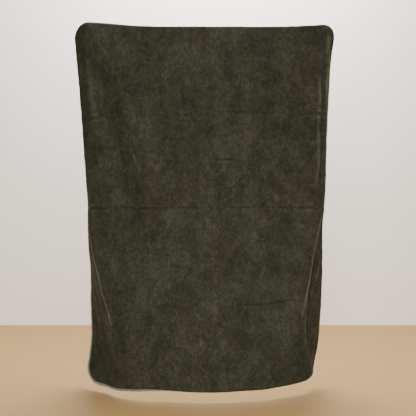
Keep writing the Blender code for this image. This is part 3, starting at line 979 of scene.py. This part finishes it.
def tape_profile():
    """The folded ribbon's outline, as distance inside the cut's edge and height to the front."""
    middle = (FRONT_UNDER - BACK_UNDER) / 2
    half = (FRONT_UNDER + BACK_UNDER) / 2
    outer = [(TAPE_COVER, FRONT_UNDER + 0.0002), (TAPE_COVER + 0.0004, FRONT_UNDER + 0.0008)]
    outer += [(TAPE_COVER - 0.0003, FRONT_UNDER + TAPE_THICKNESS + HEM_EXTRA)]
    outer += [(s, FRONT_UNDER + TAPE_THICKNESS + HEM_EXTRA * (s > HEM_END)) for s in FACE_POINTS]
    for k in range(7):
        turn = pi / 2 - k * pi / 6
        across_fold = (half + TAPE_THICKNESS) * sin(turn)
        outer.append((0.0008 - NOSE * cos(turn), middle + across_fold))
    for s in reversed(FACE_POINTS):
        outer.append((s, -BACK_UNDER - TAPE_THICKNESS - HEM_EXTRA * (s > HEM_END)))
    outer += [(TAPE_COVER - 0.0003, -BACK_UNDER - TAPE_THICKNESS - HEM_EXTRA)]
    outer += [(TAPE_COVER + 0.0004, -BACK_UNDER - 0.0008), (TAPE_COVER, -BACK_UNDER - 0.0002)]
    inner = [(0.007, -BACK_UNDER), (0.0008, -BACK_UNDER), (-0.0006, middle), (0.0008, FRONT_UNDER)]
    return np.array(outer + inner + [(0.007, FRONT_UNDER)])


def edge_places(inside, height, stations):
    """Places at distances inside the cut's edge and heights to the front, at each station."""
    x, y, out_x, out_y = stations
    across, down = x - out_x * inside, y - out_y * inside
    place, front = cloth(across, down)
    return place + front * np.asarray(height)[..., None]


profile = tape_profile()
print("tape profile", len(profile), "points")

# %% Tape piece
# The UV map holds the tape in so many strips, one above the other.
TAPE_STRIPS = 14


def tape_piece():
    """The tape's profile swept round the cut, drawn in at each stitch."""
    stations, length = cut_edge(tape_stations)
    along = np.arange(tape_stations) / tape_stations * length
    uneven = noise_field(along, along * 0, 0.03, 4.4, 2)
    wave = np.sin(2 * pi * along / PUCKER_LENGTH + 2.5 * uneven) * (0.8 + 0.5 * uneven)
    rings = []
    for inside, height in profile:
        by_stitch = np.exp(-(((inside - STITCH_INSIDE) / 0.004) ** 2))
        drawn = PUCKER * wave * (1 - 0.6 * by_stitch) * np.sign(height)
        outwards = -0.0006 * uneven * (inside < 0.002)
        grooved = -0.00035 * by_stitch * np.sign(height) * (abs(height) > FRONT_UNDER + 0.0005)
        rings.append(edge_places(inside + outwards, height + drawn + grooved, stations))
    rings = np.array(rings)
    count = len(profile)
    steps = np.hypot(*np.diff(profile, axis=0, append=profile[:1]).T)
    around = np.concatenate([[0], np.cumsum(steps)])
    faces, uvs = [], []
    for k in range(tape_stations):
        following = (k + 1) % tape_stations
        strip, into = divmod(k * TAPE_STRIPS / tape_stations, 1)
        for p in range(count):
            q = (p + 1) % count
            faces.append((p * tape_stations + k, p * tape_stations + following,
                          q * tape_stations + following, q * tape_stations + k))
            low, high = (strip + 0.02 + 0.96 * around[[p, p + 1]] / around[-1]) / TAPE_STRIPS
            left, right = into * 0.998, (into + TAPE_STRIPS / tape_stations) * 0.998
            uvs += [(left, low), (right, low), (right, high), (left, high)]
    cut = [(along[k], around[p], 0.0) for p in range(count) for k in range(tape_stations)]
    return finish_piece("edge_binding", rings.reshape(-1, 3), faces, cut, uvs, tape.material)


edge_binding = tape_piece()

# %% [markdown]
# ## Stitches
# A lockstitch shows as a row of short thread lengths on each face, which dive into the cloth
# between them. Each stitch is a small spindle with its ends pushed down into the tape. All the
# stitches of one face are one mesh, because they are one thread.

# %% Stitch rows
STITCH_PITCH = 0.0050
STITCH_LENGTH = 0.0043
STITCH_RADIUS = 0.00042
STITCH_DIP = 0.0007
STITCH_RINGS, STITCH_SIDES = 5, 6
# The UV map holds the stitches in rows of so many.
STITCHES_IN_ROW = 40


def stitch_row(name, side, under):
    """The stitches on one face. side is 1 for the front and -1 for the back."""
    count = round(edge_length / STITCH_PITCH)
    rings, sides = STITCH_RINGS, STITCH_SIDES
    ring_places = []
    for k in range(rings):
        share = k / (rings - 1) - 0.5
        stations = cut_edge_at((np.arange(count) + share * STITCH_LENGTH / STITCH_PITCH) / count)
        lift = under + STITCH_RADIUS * 0.7 - STITCH_DIP * (2 * share) ** 4
        radius = STITCH_RADIUS * (1 - 0.55 * (2 * share) ** 4)
        for n in range(sides):
            turn = 2 * pi * n / sides
            inside = STITCH_INSIDE + radius * cos(turn) + 0.0004 * share
            ring_places.append(edge_places(inside, side * (lift + radius * sin(turn)), stations))
    points = np.array(ring_places).reshape(rings, sides, count, 3).transpose(2, 0, 1, 3)
    faces, uvs = [], []
    columns = STITCHES_IN_ROW
    for s in range(count):
        base = s * rings * sides
        corner = (s % columns / columns, s // columns / columns)
        for k in range(rings - 1):
            for n in range(sides):
                m = (n + 1) % sides
                a, b = base + k * sides, base + (k + 1) * sides
                faces.append((a + n, a + m, b + m, b + n))
                spots = ((k, n), (k, n + 1), (k + 1, n + 1), (k + 1, n))
                uvs += [(corner[0] + (u + 0.5) / 6 / columns, corner[1] + (v + 0.5) / 8 / columns)
                        for u, v in spots]
        for ring, order in ((0, range(sides - 1, -1, -1)), (rings - 1, range(sides))):
            faces.append([base + ring * sides + n for n in order])
            uvs += [(corner[0] + (5.3 + 0.3 * cos(n)) / 6 / columns,
                     corner[1] + (3 + ring / 2 + 0.3 * sin(n)) / 8 / columns) for n in range(sides)]
    if side < 0:
        faces = [tuple(reversed(face)) for face in faces]
    cut = [(s * STITCH_PITCH + k * 0.001, n * 0.0004, 0.0)
           for s in range(count) for k in range(rings) for n in range(sides)]
    return finish_piece(name, points.reshape(-1, 3), faces, cut, uvs, thread.material)


def cut_edge_at(shares):
    """The edge's stations at shares of the way round, read from a fine list of them."""
    fine, _ = edge_list
    spot = shares % 1 * fine.shape[1]
    low = np.floor(spot).astype(int) % fine.shape[1]
    part = spot - np.floor(spot)
    found = fine[:, low] * (1 - part) + fine[:, (low + 1) % fine.shape[1]] * part
    found[2:] /= np.hypot(*found[2:])
    return found


edge_list = cut_edge(8000)
needle_stitches = stitch_row("needle_stitches", 1, FRONT_UNDER + TAPE_THICKNESS)
bobbin_stitches = stitch_row("bobbin_stitches", -1, BACK_UNDER + TAPE_THICKNESS)

# %% [markdown]
# ## Care label
# A small ribbon label is caught under the tape on the back, near the left edge. It is folded at
# its free end and it stands off the canvas a little. It carries no text.

# %% Care label piece
LABEL_LENGTH = 0.055
LABEL_HEIGHT = 0.038
LABEL_ABOVE_HEM = 0.42
LABEL_THICKNESS = 0.0005


def label_piece():
    """The label as a thin skin of two leaves, joined by the fold at its free end."""
    columns, rows = 23, 13
    along, up = np.meshgrid(np.linspace(0, 1, columns), np.linspace(0, 1, rows))
    across = -WIDTH / 2 + TAPE_COVER - 0.001 + along * LABEL_LENGTH
    down = LENGTH - LABEL_ABOVE_HEM + up * LABEL_HEIGHT
    place, front = cloth(across, down)
    curl = 0.0035 * along**2 + 0.0012 * np.sin(3 * up + 1) * along
    off = BACK_UNDER + 0.0006 + curl
    slack = 0.0011 * np.sin(pi * np.clip(along, 0, 1)) * (0.6 + 0.4 * np.cos(2 * pi * up))
    near = place - front * off[..., None]
    far = place - front * (off + LABEL_THICKNESS + slack)[..., None]
    return skin_piece("care_label_ribbon", across, down, far, near, 1, label.material, True)


care_label_ribbon = label_piece()

# %% [markdown]
# ## Joining the frame
# Each whole piece stands for the two halves of its CAD part, which are hidden. Only the care label
# is joined to a body: it moves with the lower half.

halves = {
    fleece_face: "fleece",
    canvas_back: "canvas",
    edge_binding: "binding",
    needle_stitches: "front_thread",
    bobbin_stitches: "back_thread",
}
for piece, node in halves.items():
    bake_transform(piece)
    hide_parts(f"{node}_upper", f"{node}_lower")
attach(care_label_ribbon, "lower")
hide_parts("care_label")

print("pieces", [piece.name for piece in halves], "and", care_label_ribbon.name)
